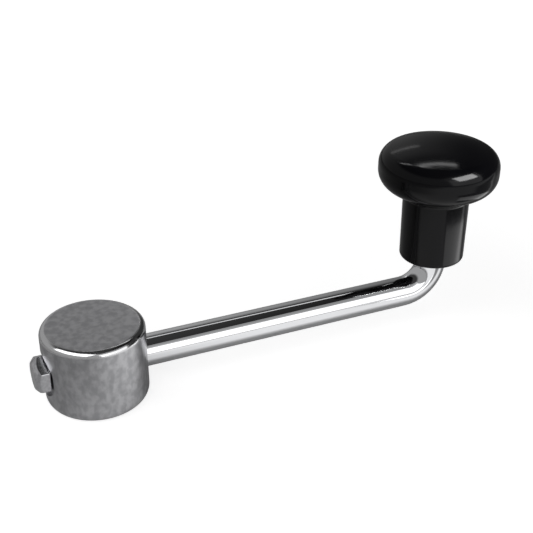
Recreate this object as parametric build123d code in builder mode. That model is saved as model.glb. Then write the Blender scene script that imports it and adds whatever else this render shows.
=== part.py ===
from build123d import *
from math import acos, atan, cos, pi, radians, sqrt, tan
import os

# Hand crank with a revolving knob, in millimetres.
#
# A turned steel hub slides over a shaft from below and is clamped by a hex-head screw. A bent
# bar is screwed into the hub's side. Its upturned end is a shouldered spindle, and a moulded
# mushroom knob spins on that spindle in a steel sleeve, held on by a split ring.
#
# The origin is the centre of the shaft bore's mouth, on the underside of the hub. +Z runs up
# the bore, +X runs out along the arm, and the knob turns about a line parallel to Z.

# ---------------------------------------------------------------- driving dimensions

# Hub
hub_diameter = 38.0
hub_height = 30.0
hub_top_radius = 2.5
hub_foot_radius = 3.5
bore_diameter = 14.0
bore_mouth_chamfer = 0.8
bore_cap = 3.8  # metal left between the drill point and the top of the hub
drill_point_angle = 118.0

# Arm
arm_diameter = 12.0
arm_height = 14.0  # centre line of the bar above the underside of the hub
throw = 140.0  # shaft axis to knob axis
bend_radius = 12.5  # centre line of the bar
collar_length = 1.5  # straight bar between the bend and the spindle's shoulder
arm_seat_depth = 4.0  # full-diameter seat in the hub's side
arm_seat_chamfer = 0.4
tenon_step = 1.0  # shoulder round the threaded tenon
tenon_chamfer = 1.0
tenon_end_gap = 0.5
thread_relief_width = 1.5
thread_relief_depth = 0.7
bore_web = 1.5  # metal left between the tenon's blind hole and the bore
fit_clearance = 0.05  # radial, for every piece that is screwed or slid into another

# Clamp screw
screw_diameter = 8.0
screw_across_flats = 13.0
screw_head_height = 5.3
screw_crown_radius = 4.9  # flat end of the head, inside its conical chamfer
screw_crown_angle = 42.0  # slope of that chamfer from the end face
screw_tip_chamfer = 1.0
screw_tip_gap = 0.4  # the screw is backed off, so that the shaft can enter the bore
spot_face_margin = 1.0  # round the corners of the head
spot_face_depth = 1.8
head_standoff = 0.5  # head above its spot face

# Knob
neck_foot_diameter = 25.5
neck_top_diameter = 26.0
neck_length = 26.9
head_diameter = 46.6
underside_rise = 6.0
rim_height = 11.1
crown_radius = 60.0
foot_radius = 1.2
neck_radius = 1.5
under_radius = 7.5
shoulder_radius = 6.2

# Spindle, sleeve and split ring
spindle_diameter = 8.0
spindle_chamfer = 0.8
spindle_tip = 2.0  # beyond the ring's groove
running_clearance = 0.05  # radial, between spindle and sleeve
thrust_gap = 0.2  # sleeve above the shoulder, and ring above the sleeve
sleeve_length = 30.0
sleeve_wall = 1.95
sleeve_chamfer = 0.5
sleeve_proud = 0.3  # sleeve below the foot of the knob, so that metal takes the thrust
grip_count = 3
grip_width = 2.0
grip_depth = 0.6
ring_thickness = 1.0
ring_width = 1.7
ring_opening = 2.6
ring_corner_radius = 0.4
ring_groove_depth = 0.4
ring_side_clearance = 0.05
socket_end_gap = 1.2  # air above the end of the spindle

# ---------------------------------------------------------------- sizes that follow from them

hub_radius = hub_diameter / 2
bore_radius = bore_diameter / 2
drill_point = bore_radius / tan(radians(drill_point_angle / 2))
bore_depth = hub_height - bore_cap - drill_point

arm_radius = arm_diameter / 2
seat_x = hub_radius - arm_seat_depth
tenon_radius = arm_radius - tenon_step
tenon_hole_end_x = bore_radius + bore_web
tenon_end_x = tenon_hole_end_x + tenon_end_gap
shoulder_z = arm_height + bend_radius + collar_length

screw_radius = screw_diameter / 2
screw_corner_radius = screw_across_flats / 2 / cos(pi / 6)
spot_face_x = hub_radius - spot_face_depth
head_seat_x = spot_face_x + head_standoff
head_end_x = head_seat_x + screw_head_height
crown_slope = tan(radians(screw_crown_angle))
screw_tip_x = bore_radius + screw_tip_gap

spindle_radius = spindle_diameter / 2
sleeve_foot_z = shoulder_z + thrust_gap
sleeve_top_z = sleeve_foot_z + sleeve_length
sleeve_bore_radius = spindle_radius + running_clearance
sleeve_radius = sleeve_bore_radius + sleeve_wall
ring_foot_z = sleeve_top_z + thrust_gap
ring_groove_foot_z = ring_foot_z - ring_side_clearance
ring_groove_top_z = ring_foot_z + ring_thickness + ring_side_clearance
ring_groove_radius = spindle_radius - ring_groove_depth
ring_inner_radius = ring_groove_radius + fit_clearance
ring_outer_radius = ring_inner_radius + ring_width
spindle_end_z = ring_groove_top_z + spindle_tip

knob_foot_z = sleeve_foot_z + sleeve_proud
head_radius = head_diameter / 2
crown_rise = crown_radius - sqrt(crown_radius**2 - head_radius**2)
flank_foot = neck_length + underside_rise
flank_top = flank_foot + rim_height
knob_height = flank_top + crown_rise

# The outline turns by these angles at the two corners of the rim, and each fillet may take up
# to half of the rim.
under_turn = atan((head_radius - neck_top_diameter / 2) / underside_rise)
shoulder_turn = acos(head_radius / crown_radius)
largest_under_radius = rim_height / 2 / tan(under_turn / 2)
largest_shoulder_radius = rim_height / 2 / tan(shoulder_turn / 2)

socket_depth = spindle_end_z + socket_end_gap - knob_foot_z
grip_pitch = sleeve_length / (grip_count + 1)
grip_heights = [grip_pitch * (i + 1) for i in range(grip_count)]

# Planes of the cross holes, facing out of the hub's side, and the section planes of what turns
# about the knob's axis. On a section plane X is the radius and Y runs up.
arm_side = Plane(origin=(hub_radius, 0, arm_height), x_dir=(0, 1, 0), z_dir=(1, 0, 0))
screw_side = Plane(origin=(-hub_radius, 0, arm_height), x_dir=(0, -1, 0), z_dir=(-1, 0, 0))
arm_axis = Axis((0, 0, arm_height), (1, 0, 0))
knob_axis = Axis((throw, 0, 0), (0, 0, 1))


def knob_section(height):
    """The vertical plane through the knob's axis, with its origin at the given height."""
    return Plane(origin=(throw, 0, height), x_dir=(1, 0, 0), z_dir=(0, -1, 0))


# ---------------------------------------------------------------- hub

# Turned section with the blind bore, its mouth chamfer and the cone that the drill leaves.
with BuildPart() as hub:
    with BuildSketch(Plane.YZ) as hub_section:
        with BuildLine():
            Polyline(
                (bore_radius + bore_mouth_chamfer, 0),
                (hub_radius, 0),
                (hub_radius, hub_height),
                (0, hub_height),
                (0, bore_depth + drill_point),
                (bore_radius, bore_depth),
                (bore_radius, bore_mouth_chamfer),
                close=True,
            )
        make_face()
        fillet(hub_section.vertices().group_by(Axis.Y)[0].sort_by(Axis.X)[-1], hub_foot_radius)
        fillet(hub_section.vertices().group_by(Axis.Y)[-1].sort_by(Axis.X)[-1], hub_top_radius)
    revolve(axis=Axis.Z)

    # Seat and blind tapped hole for the arm.
    with Locations(arm_side):
        CounterBoreHole(
            radius=tenon_radius,
            counter_bore_radius=arm_radius + fit_clearance,
            counter_bore_depth=arm_seat_depth,
            depth=hub_radius - tenon_hole_end_x,
        )
    chamfer(hub.edges().sort_by(Axis.X)[-1], arm_seat_chamfer)

    # Spot face and tapped hole for the clamp screw, through into the bore.
    with Locations(screw_side):
        CounterBoreHole(
            radius=screw_radius,
            counter_bore_radius=screw_corner_radius + spot_face_margin,
            counter_bore_depth=spot_face_depth,
            depth=hub_radius,
        )
hub.part.label = "hub"

# ---------------------------------------------------------------- bent arm

with BuildPart() as crank_arm:
    with BuildLine() as bar_path:
        FilletPolyline(
            (seat_x, 0, arm_height),
            (throw, 0, arm_height),
            (throw, 0, shoulder_z),
            radius=bend_radius,
        )
    with BuildSketch(Plane(origin=(seat_x, 0, arm_height), z_dir=(1, 0, 0))):
        Circle(arm_radius)
    sweep(path=bar_path.wire())

    # Threaded tenon with its relief, turned on the end that enters the hub.
    with BuildSketch(Plane.XZ):
        with BuildLine(Plane((0, arm_height, 0))):
            Polyline(
                (seat_x, 0),
                (tenon_end_x, 0),
                (tenon_end_x, tenon_radius - fit_clearance - tenon_chamfer),
                (tenon_end_x + tenon_chamfer, tenon_radius - fit_clearance),
                (seat_x - thread_relief_width, tenon_radius - fit_clearance),
                (seat_x - thread_relief_width, tenon_radius - thread_relief_depth),
                (seat_x, tenon_radius - thread_relief_depth),
                close=True,
            )
        make_face()
    revolve(axis=arm_axis)

    # Spindle with the groove for the split ring, turned on the end that carries the knob.
    with BuildSketch(knob_section(0)):
        with BuildLine():
            Polyline(
                (0, shoulder_z),
                (spindle_radius, shoulder_z),
                (spindle_radius, ring_groove_foot_z),
                (ring_groove_radius, ring_groove_foot_z),
                (ring_groove_radius, ring_groove_top_z),
                (spindle_radius, ring_groove_top_z),
                (spindle_radius, spindle_end_z - spindle_chamfer),
                (spindle_radius - spindle_chamfer, spindle_end_z),
                (0, spindle_end_z),
                close=True,
            )
        make_face()
    revolve(axis=knob_axis)
crank_arm.part.label = "crank_arm"

# ---------------------------------------------------------------- clamp screw

with BuildPart() as set_screw:
    # Hexagon with a corner up, its outer end cut back by a cone.
    with BuildSketch(Plane(origin=(-head_seat_x, 0, arm_height), x_dir=(0, 0, 1), z_dir=(-1, 0, 0))):
        RegularPolygon(radius=screw_across_flats / 2, side_count=6, major_radius=False)
    extrude(amount=screw_head_height)
    with BuildSketch(Plane.XZ):
        with BuildLine(Plane((0, arm_height, 0))):
            corner_x = -head_end_x + (screw_corner_radius - screw_crown_radius) * crown_slope
            Polyline(
                (0, 0),
                (-head_end_x, 0),
                (-head_end_x, screw_crown_radius),
                (corner_x, screw_corner_radius),
                (0, screw_corner_radius),
                close=True,
            )
        make_face()
    revolve(axis=arm_axis, mode=Mode.INTERSECT)

    # Shank.
    with BuildSketch(Plane(origin=(-head_seat_x, 0, arm_height), z_dir=(1, 0, 0))):
        Circle(screw_radius - fit_clearance)
    extrude(amount=head_seat_x - screw_tip_x)
    chamfer(set_screw.edges().sort_by(Axis.X)[-1], screw_tip_chamfer)
set_screw.part.label = "set_screw"

# ---------------------------------------------------------------- split ring

with BuildPart() as retaining_ring:
    with BuildSketch(Plane(origin=(throw, 0, ring_foot_z))) as ring_face:
        Circle(ring_outer_radius)
        Circle(ring_inner_radius, mode=Mode.SUBTRACT)
        Rectangle(ring_outer_radius, ring_opening, align=(Align.MIN, Align.CENTER), mode=Mode.SUBTRACT)
        fillet(ring_face.vertices(), ring_corner_radius)
    extrude(amount=ring_thickness)
retaining_ring.part.label = "retaining_ring"

# ---------------------------------------------------------------- sleeve

# Plain bearing, with rings turned into its outside that lock it in the moulding.
with BuildPart() as knob_sleeve:
    with BuildSketch(knob_section(sleeve_foot_z)) as sleeve_section:
        with Locations((sleeve_bore_radius, 0)):
            Rectangle(sleeve_wall, sleeve_length, align=(Align.MIN, Align.MIN))
        chamfer(sleeve_section.vertices().group_by(Axis.X)[0], sleeve_chamfer)
        with Locations([(sleeve_radius, height) for height in grip_heights]):
            Rectangle(grip_depth, grip_width, align=(Align.MAX, Align.CENTER), mode=Mode.SUBTRACT)
    revolve(axis=knob_axis)
knob_sleeve.part.label = "knob_sleeve"

# ---------------------------------------------------------------- knob

with BuildPart() as knob:
    with BuildSketch(knob_section(knob_foot_z)) as knob_outline:
        with BuildLine():
            Polyline(
                (0, knob_height),
                (0, 0),
                (neck_foot_diameter / 2, 0),
                (neck_top_diameter / 2, neck_length),
                (head_radius, flank_foot),
                (head_radius, flank_top),
            )
            TangentArc((0, knob_height), (head_radius, flank_top), tangent=(1, 0))
        make_face()
        fillet(knob_outline.vertices().group_by(Axis.Y)[0].sort_by(Axis.X)[-1], foot_radius)
        neck_corner = knob_outline.vertices().sort_by_distance((neck_top_diameter / 2, neck_length))[0]
        fillet(neck_corner, neck_radius)
        under_corner = knob_outline.vertices().sort_by_distance((head_radius, flank_foot))[0]
        fillet(under_corner, min(under_radius, largest_under_radius))
        shoulder_corner = knob_outline.vertices().sort_by_distance((head_radius, flank_top))[0]
        fillet(shoulder_corner, min(shoulder_radius, largest_shoulder_radius))
    revolve(axis=knob_axis)

    # Socket: the sleeve's outside with its locking rings, and room above for the spindle's end.
    with BuildSketch(knob_section(knob_foot_z)):
        Rectangle(sleeve_radius, socket_depth, align=(Align.MIN, Align.MIN))
        with Locations([(sleeve_radius, height - sleeve_proud) for height in grip_heights]):
            Rectangle(grip_depth, grip_width, align=(Align.MAX, Align.CENTER), mode=Mode.SUBTRACT)
    revolve(axis=knob_axis, mode=Mode.SUBTRACT)
knob.part.label = "knob"

# ---------------------------------------------------------------- files

os.makedirs("parts", exist_ok=True)
export_step(hub.part, "parts/hub.step")
export_step(crank_arm.part, "parts/crank_arm.step")
export_step(set_screw.part, "parts/set_screw.step")
export_step(retaining_ring.part, "parts/retaining_ring.step")
export_step(knob_sleeve.part, "parts/knob_sleeve.step")
export_step(knob.part, "parts/knob.step")
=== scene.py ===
from math import cos, pi, radians, sin, tan

import bpy
from bpy.props import FloatProperty, FloatVectorProperty, PointerProperty
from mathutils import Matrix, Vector


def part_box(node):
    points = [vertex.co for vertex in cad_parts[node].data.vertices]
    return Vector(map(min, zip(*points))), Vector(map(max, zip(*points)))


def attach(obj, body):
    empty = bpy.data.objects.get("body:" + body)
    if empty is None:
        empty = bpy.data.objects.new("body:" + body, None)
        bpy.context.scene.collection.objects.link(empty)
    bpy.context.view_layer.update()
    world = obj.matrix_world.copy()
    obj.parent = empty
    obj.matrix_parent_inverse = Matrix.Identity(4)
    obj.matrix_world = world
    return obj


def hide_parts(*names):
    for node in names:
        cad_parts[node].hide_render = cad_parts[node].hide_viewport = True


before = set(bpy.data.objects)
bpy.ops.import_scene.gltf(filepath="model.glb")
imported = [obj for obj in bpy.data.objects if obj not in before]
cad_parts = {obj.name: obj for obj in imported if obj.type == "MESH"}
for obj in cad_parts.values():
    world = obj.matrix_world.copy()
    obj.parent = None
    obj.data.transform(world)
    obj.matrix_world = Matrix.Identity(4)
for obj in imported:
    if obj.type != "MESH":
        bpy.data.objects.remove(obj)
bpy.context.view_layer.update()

bl_info = {
    "name": "Crank Handle Workshop",
    "version": (1, 0, 0),
    "blender": (4, 5, 0),
    "location": "View3D > Sidebar > Crank Handle",
    "description": "Finishes a hand crank with a revolving knob, and builds its studio",
    "category": "Object",
}

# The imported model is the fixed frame, in metres: the origin is the mouth of the shaft bore, +Z
# runs up the bore, +X runs out along the arm, and the knob turns about a line parallel to Z.
HUB_LOW, HUB_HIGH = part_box("hub")
SCREW_LOW, SCREW_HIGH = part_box("set_screw")
KNOB_LOW, KNOB_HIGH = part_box("knob")

HUB_RADIUS = (HUB_HIGH.y - HUB_LOW.y) / 2
HUB_TOP = HUB_HIGH.z
KNOB_AXIS_X = (KNOB_LOW.x + KNOB_HIGH.x) / 2
SCREW_AXIS_Z = (SCREW_LOW.z + SCREW_HIGH.z) / 2

BLACK = (0.0, 0.0, 0.0)
WHITE = (1.0, 1.0, 1.0)


# ---------------------------------------------------------------- shader arithmetic


class Socket:
    """An output of a node. Python arithmetic on it adds Math nodes."""

    def __init__(self, nodes, output):
        self.nodes = nodes
        self.output = output

    def of(self, name):
        """Another output of the same node."""
        return Socket(self.nodes, self.output.node.outputs[name])

    def math(self, operation, first, second):
        return self.nodes.add("Math", {"operation": operation}, {0: first, 1: second})

    def __add__(self, other):
        return self.math("ADD", self, other)

    def __sub__(self, other):
        return self.math("SUBTRACT", self, other)

    def __mul__(self, other):
        return self.math("MULTIPLY", self, other)

    def __truediv__(self, other):
        return self.math("DIVIDE", self, other)

    def __pow__(self, other):
        return self.math("POWER", self, other)

    def __rsub__(self, other):
        return self.math("SUBTRACT", other, self)

    __radd__ = __add__
    __rmul__ = __mul__

    def highest(self, other):
        return self.math("MAXIMUM", self, other)

    def ramp(self, low, high):
        """0 where the value is low or less, 1 where it is high or more, and smooth between."""
        settings = {"interpolation_type": "SMOOTHSTEP"}
        return self.nodes.add("MapRange", settings, {"Value": self, "From Min": low, "From Max": high})


class Nodes:
    """The node tree of a material or of the world, filled one node at a time."""

    def __init__(self, tree):
        self.tree = tree
        tree.nodes.clear()

    def add(self, kind, settings=None, inputs=None, output=0):
        """Adds a node: its settings first, then the values or links of its inputs."""
        node = self.tree.nodes.new("ShaderNode" + kind)
        for name, value in (settings or {}).items():
            setattr(node, name, value)
        for name, value in (inputs or {}).items():
            if isinstance(value, Socket):
                self.tree.links.new(value.output, node.inputs[name])
            else:
                node.inputs[name].default_value = value
        return Socket(self, node.outputs[output] if node.outputs else None)

    def mix(self, factor, first, second):
        """Two colours mixed: a colour is a socket or three numbers."""
        inputs = {0: factor}
        for socket, colour in ((6, first), (7, second)):
            inputs[socket] = colour if isinstance(colour, Socket) else (*colour, 1.0)
        return self.add("Mix", {"data_type": "RGBA"}, inputs, output=2)

    def place(self, coordinates="Object"):
        """The place on the piece, in metres, or the world's direction, as X, Y and Z."""
        return self.add("SeparateXYZ", {}, {0: self.add("TexCoord", output=coordinates)})

    def stretched(self, stretch=(1.0, 1.0, 1.0)):
        """The place on the piece as a vector, for a pattern that is stretched along the axes."""
        vector = self.add("TexCoord", output="Object")
        return self.add("Mapping", {}, {"Vector": vector, "Scale": stretch})

    def turned(self, axis_x=0.0):
        """A place that is the same all round an upright axis: turning marks read it."""
        place = self.place()
        out, side = place.of("X") - axis_x, place.of("Y")
        radius = (out * out + side * side) ** 0.5
        return self.add("CombineXYZ", {}, {"X": radius, "Z": place.of("Z")})

    def noise(self, grain, vector, detail):
        """Cloudy noise with lumps of about the size of the grain, in metres."""
        inputs = {"Vector": vector, "Scale": 1 / grain, "Detail": detail, "Roughness": 0.5}
        return self.add("TexNoise", {}, inputs)

    def bump(self, height, depth, normal=None):
        """A bumped normal, where a height of 1 stands up by the depth, in metres."""
        inputs = {"Height": height, "Distance": depth}
        if normal:
            inputs["Normal"] = normal
        return self.add("Bump", {}, inputs)

    def metal(self, colour, roughness, normal):
        """Ends the material as a bare metal."""
        if not isinstance(colour, Socket):
            colour = (*colour, 1.0)
        surface = self.add("BsdfPrincipled", {}, {
            "Base Color": colour, "Metallic": 1.0, "Roughness": roughness, "Normal": normal,
        })
        self.finish(surface)

    def finish(self, surface, kind="OutputMaterial"):
        """Links the surface to the tree's output."""
        self.add(kind, {}, {"Surface": surface})


def new_material(name):
    """A new material and its empty node tree."""
    material = bpy.data.materials.new(name)
    material.use_nodes = True
    return material, Nodes(material.node_tree)


def coat_node(name, material):
    """Gives a CAD node its finish."""
    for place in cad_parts[name].material_slots:
        place.material = material


# ---------------------------------------------------------------- modelling


def deselect():
    bpy.ops.object.select_all(action="DESELECT")


def name_piece(name):
    """Names the piece that was just added, and moves its place and turn into its mesh."""
    piece = bpy.context.object
    piece.name = name
    bpy.ops.object.transform_apply(location=True, rotation=True, scale=True)
    return piece


def apply_modifier(piece, kind, **settings):
    """Adds a modifier to the piece, and applies it."""
    bpy.context.view_layer.objects.active = piece
    modifier = piece.modifiers.new(kind.lower(), kind)
    for name, value in settings.items():
        setattr(modifier, name, value)
    bpy.ops.object.modifier_apply(modifier=modifier.name)


def combine(piece, operation, other):
    """Joins the piece to another one, or keeps what they share. The other one is used up."""
    apply_modifier(piece, "BOOLEAN", operation=operation, object=other, solver="EXACT")
    bpy.data.meshes.remove(other.data)


# ---------------------------------------------------------------- settings


def length(name, default, description):
    return FloatProperty(name=name, description=description, default=default, unit="LENGTH")


def share(name, default, description):
    return FloatProperty(name=name, description=description, default=default, min=0, max=1)


def angle(name, default, description):
    return FloatProperty(name=name, description=description, default=default, subtype="ANGLE")


def colour(name, default, description):
    return FloatVectorProperty(
        name=name, description=description, default=default, subtype="COLOR", size=3, min=0, max=1,
    )


class HubFinish(bpy.types.PropertyGroup):
    """Satin turned steel, polished by handling round its top edge, where a lighter colour also paints
    a highlight
    """

    light_steel: colour("Light steel", (0.56, 0.56, 0.575), "Colour of the cleanest steel")
    dark_steel: colour("Dark steel", (0.40, 0.40, 0.415), "Colour of the dullest steel")
    gloss: share("Roughness", 0.27, "Roughness of the satin surface")
    mottle: length("Mottle", 0.0024, "Width of the light and dark patches")
    lathe_pitch: length("Lathe pitch", 0.00025, "Distance between turning marks")
    # The top edge's lighter steel colour is a painted highlight; its polish is the lower roughness
    # below.
    highlight_steel: colour("Worn steel", (0.72, 0.72, 0.73), "Colour of the polished edge")
    worn_gloss: share("Worn roughness", 0.13, "Roughness of the polished edge")
    polish_and_highlight_width: length("Worn width", 0.0024, "Height and depth of the polished edge")
    polish_and_highlight_fade: length("Worn fade", 0.0006, "Width over which the polish begins")


class ArmFinish(bpy.types.PropertyGroup):
    """Bright chrome with the slight waves that polishing leaves"""

    chrome: colour("Chrome", (0.79, 0.795, 0.81), "Colour of the plating")
    ripple: length("Ripple", 0.006, "Length of the waves")
    ripple_depth: length("Ripple depth", 0.000012, "Height of the waves")


class ClampScrew(bpy.types.PropertyGroup):
    """A plated hexagon screw with a metric thread"""

    across_flats: length("Across flats", 0.013, "Width of the hexagon")
    head_height: length("Head height", 0.0053, "Height of the hexagon")
    crown_radius: length("Crown radius", 0.0049, "Radius of the head's flat end")
    crown_angle: angle("Crown angle", radians(42), "Slope of the cone that cuts the corners")
    edge_softness: length("Edge softness", 0.0003, "Width of the rounded edges")
    pitch: length("Pitch", 0.00125, "Advance of the thread in a turn")
    crest: length("Crest", 0.00393, "Outer radius of the thread")
    point: length("Point", 0.001, "Length of the chamfer at the tip")
    light_plate: colour("Light plating", (0.70, 0.70, 0.72), "Colour of the brightest plating")
    dark_plate: colour("Dark plating", (0.56, 0.56, 0.58), "Colour of the dullest plating")
    haze: length("Haze", 0.0011, "Width of the dull patches")


class KnobFinish(bpy.types.PropertyGroup):
    """Glossy black moulding"""

    black: colour("Black", (0.0014, 0.0014, 0.0018), "Colour of the moulding")
    gloss: share("Roughness", 0.11, "Roughness of the moulded surface")
    peel: length("Peel", 0.0022, "Width of the faint waves of the surface")


class BearingFinish(bpy.types.PropertyGroup):
    """Plain turned steel inside the knob"""

    sleeve_tone: share("Sleeve tone", 0.5, "Brightness of the sleeve")
    ring_tone: share("Ring tone", 0.3, "Brightness of the split ring")
    lathe_pitch: length("Lathe pitch", 0.0003, "Distance between turning marks")


class StudioSettings(bpy.types.PropertyGroup):
    """The camera and the floor"""

    lens: FloatProperty(name="Lens", description="Focal length", default=68.91, min=1, unit="CAMERA")
    target: FloatVectorProperty(
        name="Target", description="Point at the middle of the view",
        subtype="TRANSLATION", size=3, default=(0.0736, 0.0137, 0.0303),
    )
    distance: length("Distance", 0.400, "Camera to target")
    azimuth: angle("Azimuth", radians(-23.08), "Camera's turn round the object from the front")
    elevation: angle("Elevation", radians(29.57), "Camera's height above the horizon")
    floor_tone: share("Floor tone", 0.50, "Paleness of the floor")


# ---------------------------------------------------------------- the crank's pieces


class CRANK_OT_hub(bpy.types.Operator):
    """Give the hub its satin turned finish"""

    bl_idname = "crank.hub"
    bl_label = "Finish Hub"

    def execute(self, context):
        look = context.scene.crank_hub
        material, nodes = new_material("hub_satin_steel")
        mottle = nodes.noise(look.mottle, nodes.stretched((1.0, 1.0, 0.7)), detail=3.0)
        marks = nodes.noise(look.lathe_pitch, nodes.turned(), detail=1.0)
        patches = mottle.ramp(0.32, 0.68)
        polish_and_highlight = self.polish_and_highlight_edge(nodes, look)
        steel = nodes.mix(patches, look.dark_steel, look.light_steel)
        satin = look.gloss + 0.05 * patches + 0.04 * marks
        nodes.metal(
            # Lighter steel on the top edge: a painted highlight along the rounding.
            colour=nodes.mix(polish_and_highlight, steel, look.highlight_steel),
            roughness=satin - (satin - look.worn_gloss) * polish_and_highlight,
            normal=nodes.bump(marks, 0.000002, nodes.bump(mottle, 0.000008)),
        )
        coat_node("hub", material)
        return {"FINISHED"}

    def polish_and_highlight_edge(self, nodes, look):
        """1 on the rounding between the hub's side and its top, which handling has polished, and where
        a lighter colour paints a highlight.
        """
        place = nodes.place()
        radius = (place.of("X") ** 2 + place.of("Y") ** 2) ** 0.5
        inner, lower = HUB_RADIUS - look.polish_and_highlight_width, HUB_TOP - look.polish_and_highlight_width
        outside = radius.ramp(inner, inner + look.polish_and_highlight_fade)
        return outside * place.of("Z").ramp(lower, lower + look.polish_and_highlight_fade)


class CRANK_OT_arm(bpy.types.Operator):
    """Give the bent bar its chrome plating"""

    bl_idname = "crank.arm"
    bl_label = "Finish Arm"

    def execute(self, context):
        look = context.scene.crank_arm
        material, nodes = new_material("arm_chrome")
        ripple = nodes.noise(look.ripple, nodes.stretched(), detail=1.0)
        haze = nodes.noise(look.ripple / 3, nodes.stretched(), detail=3.0)
        nodes.metal(
            colour=look.chrome,
            roughness=0.025 + 0.04 * haze.ramp(0.4, 0.8),
            normal=nodes.bump(ripple, look.ripple_depth),
        )
        coat_node("crank_arm", material)
        return {"FINISHED"}


class CRANK_OT_screw(bpy.types.Operator):
    """Build the hexagon clamp screw with its thread, and plate it"""

    bl_idname = "crank.screw"
    bl_label = "Build Clamp Screw"

    # One turn of the thread from the end of a root: its runs as shares of the pitch, and its
    # climbs as shares of the thread's depth.
    thread = ((0.31, 1), (0.13, 0), (0.31, -1), (0.25, 0))
    thread_depth = 0.58  # of the pitch
    along_x = (pi / 2, 0, pi / 2)  # turns an upright piece to point along +X, with its +Y up
    spare = 0.001  # extra length of the hexagon and of its cone, each past the other's end
    sunk = 0.0005  # the shank's length inside the head

    def execute(self, context):
        look = context.scene.crank_screw
        screw = self.head(look)
        combine(screw, "UNION", self.shank(look))
        bpy.ops.object.shade_smooth_by_angle(angle=radians(28))
        screw.data.materials.append(self.plating(look))
        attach(screw, "crank")
        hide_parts("set_screw")
        return {"FINISHED"}

    def head(self, look):
        """The hexagon, cut back by a cone to a round crown, with softened edges."""
        end, seat = SCREW_LOW.x, SCREW_LOW.x + look.head_height
        depth = look.head_height + self.spare
        deselect()
        bpy.ops.mesh.primitive_cylinder_add(
            vertices=6, radius=look.across_flats / 2 / cos(pi / 6), depth=depth,
            location=(seat - depth / 2, 0, SCREW_AXIS_Z), rotation=self.along_x,
        )
        hexagon = name_piece("clamp_screw")
        deselect()
        bpy.ops.mesh.primitive_cone_add(
            vertices=96, radius1=look.crown_radius,
            radius2=look.crown_radius + depth / tan(look.crown_angle), depth=depth,
            location=(end + depth / 2, 0, SCREW_AXIS_Z), rotation=self.along_x,
        )
        crown = name_piece("crown")
        for piece in (hexagon, crown):
            apply_modifier(
                piece, "BEVEL", width=look.edge_softness, segments=3, limit_method="ANGLE",
                angle_limit=radians(30),
            )
        combine(hexagon, "INTERSECT", crown)
        return hexagon

    def shank(self, look):
        """The thread, cut to its length and chamfered at the tip by a cone."""
        shank = self.endless_thread(look)
        low = SCREW_LOW.x + look.head_height - self.sunk
        depth = SCREW_HIGH.x - low
        tip = look.crest - look.point
        deselect()
        bpy.ops.mesh.primitive_cone_add(
            vertices=96, radius1=tip + depth, radius2=tip, depth=depth,
            location=(low + depth / 2, 0, SCREW_AXIS_Z), rotation=self.along_x,
        )
        combine(shank, "INTERSECT", name_piece("envelope"))
        return shank

    def endless_thread(self, look):
        """One turn of the profile, wound along the screw and past both of its ends."""
        pitch = look.pitch
        rise = self.thread_depth * pitch
        turns = int((SCREW_HIGH.x - SCREW_LOW.x) / pitch)
        deselect()
        bpy.ops.mesh.primitive_plane_add(size=pitch)
        thread = name_piece("thread")
        bpy.ops.object.mode_set(mode="EDIT")
        bpy.ops.mesh.select_all(action="SELECT")
        bpy.ops.mesh.merge(type="CENTER")
        bpy.ops.transform.translate(value=(0, 0, look.crest - rise))
        for run, climb in self.thread:
            move = {"value": (run * pitch, 0, climb * rise)}
            bpy.ops.mesh.extrude_region_move(TRANSFORM_OT_translate=move)
        bpy.ops.object.mode_set(mode="OBJECT")
        apply_modifier(
            thread, "SCREW", axis="X", screw_offset=pitch, iterations=turns, steps=48,
            render_steps=48, use_merge_vertices=True, merge_threshold=0.000001,
        )
        bpy.ops.object.mode_set(mode="EDIT")
        bpy.ops.mesh.select_all(action="SELECT")
        bpy.ops.mesh.remove_doubles(threshold=0.000001)
        bpy.ops.mesh.fill_holes(sides=0)
        bpy.ops.mesh.select_all(action="SELECT")
        bpy.ops.mesh.normals_make_consistent(inside=False)
        start = SCREW_HIGH.x + pitch - turns * pitch
        bpy.ops.transform.translate(value=(start, 0, SCREW_AXIS_Z))
        bpy.ops.object.mode_set(mode="OBJECT")
        return thread

    def plating(self, look):
        material, nodes = new_material("screw_bright_steel")
        haze = nodes.noise(look.haze, nodes.stretched(), detail=3.0)
        nodes.metal(
            colour=nodes.mix(haze.ramp(0.35, 0.7), look.dark_plate, look.light_plate),
            roughness=0.13 + 0.14 * haze,
            normal=nodes.bump(haze, 0.000004),
        )
        return material


class CRANK_OT_knob(bpy.types.Operator):
    """Give the knob its glossy moulded finish"""

    bl_idname = "crank.knob"
    bl_label = "Finish Knob"

    def execute(self, context):
        look = context.scene.crank_knob
        material, nodes = new_material("knob_gloss_black")
        peel = nodes.noise(look.peel, nodes.stretched(), detail=1.0)
        haze = nodes.noise(0.0007, nodes.stretched(), detail=3.0)
        surface = nodes.add("BsdfPrincipled", {}, {
            "Base Color": (*look.black, 1.0),
            "Roughness": look.gloss + 0.05 * haze.ramp(0.35, 0.75),
            "Specular IOR Level": 0.17,
            "Normal": nodes.bump(peel, 0.000006),
        })
        nodes.finish(surface)
        coat_node("knob", material)
        return {"FINISHED"}


class CRANK_OT_bearing(bpy.types.Operator):
    """Give the sleeve and the split ring their plain steel finishes"""

    bl_idname = "crank.bearing"
    bl_label = "Finish Bearing"

    def execute(self, context):
        look = context.scene.crank_bearing
        self.coat(look, "knob_sleeve", look.sleeve_tone)
        self.coat(look, "retaining_ring", look.ring_tone)
        return {"FINISHED"}

    def coat(self, look, name, tone):
        material, nodes = new_material(name + "_steel")
        marks = nodes.noise(look.lathe_pitch, nodes.turned(KNOB_AXIS_X), detail=1.0)
        nodes.metal(
            colour=nodes.mix(marks, (0.8 * tone,) * 3, (1.1 * tone,) * 3),
            roughness=0.25 + 0.15 * marks,
            normal=nodes.bump(marks, 0.000002),
        )
        coat_node(name, material)


# ---------------------------------------------------------------- the studio


ALL_PIECES = ()  # a lamp with no list lights everything
METAL_AND_FLOOR = ("hub", "crank_arm", "clamp_screw", "floor")

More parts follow.
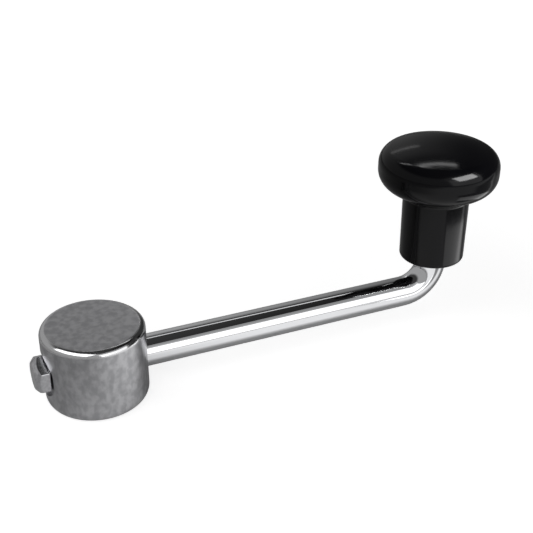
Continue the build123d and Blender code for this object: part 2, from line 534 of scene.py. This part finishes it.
# Soft lamps, each a flat panel that faces the object: its name, its direction from the object as
# an azimuth from +X and an elevation in degrees, its distance, width and height in metres, its
# brightness, and the pieces that it lights.
LAMPS = (
    ("key", -64, 19, 0.90, 1.00, 0.62, 1.3, ALL_PIECES),
    ("key_top", -64, 48, 0.90, 1.00, 0.30, 0.30, ALL_PIECES),
    ("core", -58, 39, 0.80, 0.50, 0.34, 20.0, ("knob",)),
    ("left", 200, 52, 0.90, 1.10, 0.50, 2.0, ("hub", "clamp_screw", "floor")),
    ("strip", 64, 60, 0.70, 0.44, 0.08, 0.8, METAL_AND_FLOOR),
    ("glint", 69, 57.5, 0.70, 0.52, 0.032, 7.0, ("knob",)),
    ("rear", 70, 31, 0.80, 0.22, 0.03, 1.2, ALL_PIECES),
)


def direction(azimuth, elevation):
    """The unit vector towards an azimuth from +X and an elevation."""
    level = Vector((cos(azimuth), sin(azimuth), 0)) * cos(elevation)
    return level + Vector((0, 0, sin(elevation)))


class CRANK_OT_studio(bpy.types.Operator):
    """Build the floor, the soft lamps, the world and the camera"""

    bl_idname = "crank.studio"
    bl_label = "Build Studio"

    def execute(self, context):
        look = context.scene.crank_studio
        self.floor(look)
        self.world()
        for lamp in LAMPS:
            self.lamp(Vector(look.target), *lamp)
        self.camera(look)
        context.scene.view_settings.view_transform = "Standard"
        return {"FINISHED"}

    def seen(self, nodes):
        """1 for what the camera sees, also through clear things, and 0 for other light."""
        path = nodes.add("LightPath")
        return path.of("Is Camera Ray").highest(path.of("Is Transmission Ray"))

    def floor(self, look):
        """A pale floor that keeps the shadow, shines white, and is clear from below."""
        deselect()
        bpy.ops.mesh.primitive_plane_add(size=6.0)
        floor = name_piece("floor")
        material, nodes = new_material("floor_paper")
        paper = nodes.add("BsdfDiffuse", {}, {"Color": (look.floor_tone,) * 3 + (1.0,)})
        place = nodes.place()
        x, front = place.of("X"), 0 - place.of("Y")
        far = ((x * x + front * front) ** 0.5).ramp(0.2, 0.5)
        white = (0.78 + 0.3 * far) * self.seen(nodes)
        mirrored = nodes.add("LightPath").of("Is Glossy Ray")
        # Only reflections see these painted patches of light on the floor; the camera sees the white
        # lift.
        painted_reflections = 0.7 * self.pool(x, front) + 2.2 * self.painted_neck_glint(x, front)
        brightest = 3.0
        light = nodes.mix((white + painted_reflections * mirrored) / brightest, BLACK, WHITE)
        glow = nodes.add("Emission", {}, {"Color": light, "Strength": brightest})
        lit = nodes.add("AddShader", {}, {0: paper, 1: glow})
        clear = nodes.add("BsdfTransparent")
        below = nodes.add("NewGeometry", output="Backfacing")
        nodes.finish(nodes.add("MixShader", {}, {0: below, 1: lit, 2: clear}))
        floor.data.materials.append(material)

    def pool(self, x, front):
        """A painted pool of light on the floor in front of the bar, seen only in reflections, with a
        painted shade cut into it in front of the knob.
        """
        pool = front.ramp(0.008, 0.024) * x.ramp(-0.06, 0.08) * (1 - front.ramp(0.3, 0.5))
        painted_shade = x.ramp(0.148, 0.156) * front.ramp(0.03, 0.04) * (1 - front.ramp(0.12, 0.14))
        return pool * (1 - painted_shade)

    def painted_neck_glint(self, x, front):
        """A painted glowing ring of floor round the right of the knob, seen only in reflections, for a
        painted gleam along its neck.
        """
        side = x - KNOB_AXIS_X
        reach = (side * side + front * front) ** 0.5
        ring = reach.ramp(0.056, 0.060) * (1 - reach.ramp(0.098, 0.104))
        return ring * (side - 0.16 * front).ramp(0.0, 0.002) * front.ramp(0.0, 0.02)

    def world(self):
        """A room that is dark to the right, grey to the left and black overhead."""
        world = bpy.data.worlds.new("studio")
        world.use_nodes = True
        bpy.context.scene.world = world
        nodes = Nodes(world.node_tree)
        way = nodes.place("Generated")
        right = (0.996 * way.of("X") - 0.087 * way.of("Y")).ramp(0.1, 0.6)
        overhead = way.of("Z").ramp(0.6, 0.8)
        tone = (0.38 - 0.34 * right) * (1 - 0.88 * overhead)
        room = nodes.add("Background", {}, {"Color": nodes.mix(tone, BLACK, WHITE)})
        white = nodes.add("Background", {}, {"Color": (*WHITE, 1.0)})
        seen = nodes.add("MixShader", {}, {0: self.seen(nodes), 1: room, 2: white})
        nodes.finish(seen, "OutputWorld")

    def lamp(self, target, name, azimuth, elevation, distance, width, height, brightness, pieces):
        data = bpy.data.lights.new(name + "_lamp", "AREA")
        data.shape = "RECTANGLE"
        data.size = width
        data.size_y = height
        data.energy = brightness * pi * width * height
        lamp = bpy.data.objects.new(name + "_lamp", data)
        bpy.context.scene.collection.objects.link(lamp)
        away = direction(radians(azimuth), radians(elevation))
        lamp.location = target + away * distance
        lamp.rotation_euler = away.to_track_quat("Z", "Y").to_euler()
        lamp.visible_camera = False
        if pieces:
            lit = bpy.data.collections.new("lit_by_" + name)
            for piece in pieces:
                lit.objects.link(bpy.data.objects[piece])
            lamp.light_linking.receiver_collection = lit

    def camera(self, look):
        data = bpy.data.cameras.new("camera")
        data.lens = look.lens
        data.sensor_width = 36.0
        data.clip_start, data.clip_end = 0.01, 20.0
        camera = bpy.data.objects.new("camera", data)
        bpy.context.scene.collection.objects.link(camera)
        back = direction(look.azimuth - pi / 2, look.elevation)
        camera.location = Vector(look.target) + back * look.distance
        camera.rotation_euler = back.to_track_quat("Z", "Y").to_euler()
        bpy.context.scene.camera = camera


# ---------------------------------------------------------------- the add-on


# Each step of the work, in order: its operator, and the settings that it reads.
STEPS = (
    (CRANK_OT_hub, "crank_hub", HubFinish),
    (CRANK_OT_arm, "crank_arm", ArmFinish),
    (CRANK_OT_screw, "crank_screw", ClampScrew),
    (CRANK_OT_knob, "crank_knob", KnobFinish),
    (CRANK_OT_bearing, "crank_bearing", BearingFinish),
    (CRANK_OT_studio, "crank_studio", StudioSettings),
)


class CRANK_PT_workshop(bpy.types.Panel):
    """The crank handle's finishes and studio, with a button for each"""

    bl_label = "Crank Handle"
    bl_idname = "CRANK_PT_workshop"
    bl_space_type = "VIEW_3D"
    bl_region_type = "UI"
    bl_category = "Crank Handle"

    def draw(self, context):
        for operator, name, kind in STEPS:
            box = self.layout.box()
            for setting in kind.__annotations__:
                box.prop(getattr(context.scene, name), setting)
            box.operator(operator.bl_idname)


def register():
    for operator, name, kind in STEPS:
        bpy.utils.register_class(kind)
        bpy.utils.register_class(operator)
        setattr(bpy.types.Scene, name, PointerProperty(type=kind))
    bpy.utils.register_class(CRANK_PT_workshop)


def unregister():
    bpy.utils.unregister_class(CRANK_PT_workshop)
    for operator, name, kind in reversed(STEPS):
        delattr(bpy.types.Scene, name)
        bpy.utils.unregister_class(operator)
        bpy.utils.unregister_class(kind)


def main():
    register()
    bpy.ops.crank.hub()
    bpy.ops.crank.arm()
    bpy.ops.crank.screw()
    bpy.ops.crank.knob()
    bpy.ops.crank.bearing()
    bpy.ops.crank.studio()


if __name__ == "__main__":
    main()
